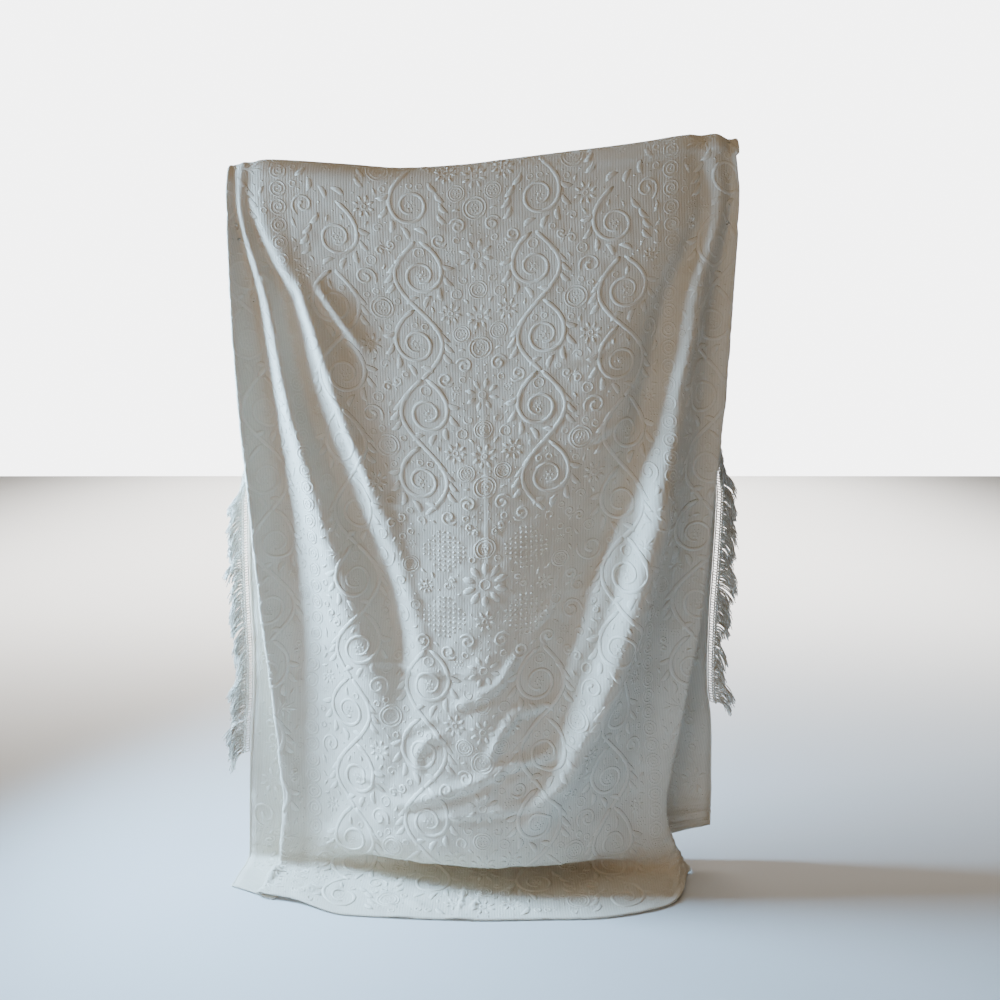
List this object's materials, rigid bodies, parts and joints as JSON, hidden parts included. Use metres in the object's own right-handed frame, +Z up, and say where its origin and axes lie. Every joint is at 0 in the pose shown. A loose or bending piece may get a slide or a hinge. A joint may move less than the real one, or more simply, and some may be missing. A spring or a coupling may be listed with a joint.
{
  "type": "chenille bedspread",
  "caption": "Fringed chenille bedspread hung from its top edge, with soft folds, side hems turned back and a foot that trails on the floor.",
  "frame": {"origin": "the point on the crest of the top edge, near its middle, where the bedspread is held", "axes": "+Z up along the hanging height, +X across the bedspread, -Y out of its front face"},
  "size_m": [1.3628, 0.3633, 1.9236],
  "materials": {
    "bedspread": "woven cotton with a raised pile pattern",
    "fringe_left": "knotted cotton yarn",
    "fringe_right": "knotted cotton yarn"
  },
  "bodies": {
    "root": {"bedspread": "bedspread", "fringe_left": "fringe_left", "fringe_right": "fringe_right"}
  },
  "joints": []
}
